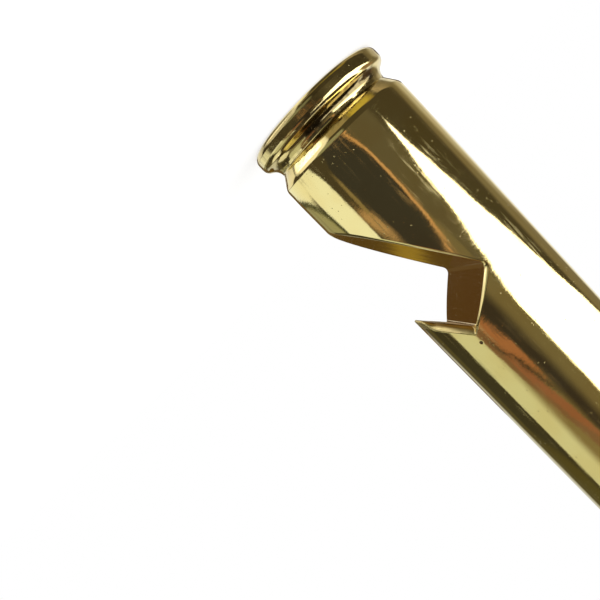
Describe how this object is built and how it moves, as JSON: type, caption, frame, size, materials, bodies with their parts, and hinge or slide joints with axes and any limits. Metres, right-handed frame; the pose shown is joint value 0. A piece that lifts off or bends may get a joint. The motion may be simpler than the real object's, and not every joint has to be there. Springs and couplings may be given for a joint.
{
  "type": "bottle opener",
  "caption": "Cartridge-shaped bottle opener: a solid tapered case with a slanted cap notch cut through its side, a rimmed flat base, a pressed-in bullet tip and a primer.",
  "frame": {"origin": "centre of the flat base, on the surface that the opener stands on", "axes": "+Z along the axis from the base to the bullet's tip, +X the side on which the cap notch opens"},
  "size_m": [0.0208, 0.0208, 0.138],
  "materials": {
    "case": "mirror polished, with fine handling scratches and specks",
    "bullet": "polished copper colour",
    "primer": "satin brass"
  },
  "bodies": {
    "root": {"case": "case", "bullet": "bullet", "primer": "primer"}
  },
  "joints": []
}
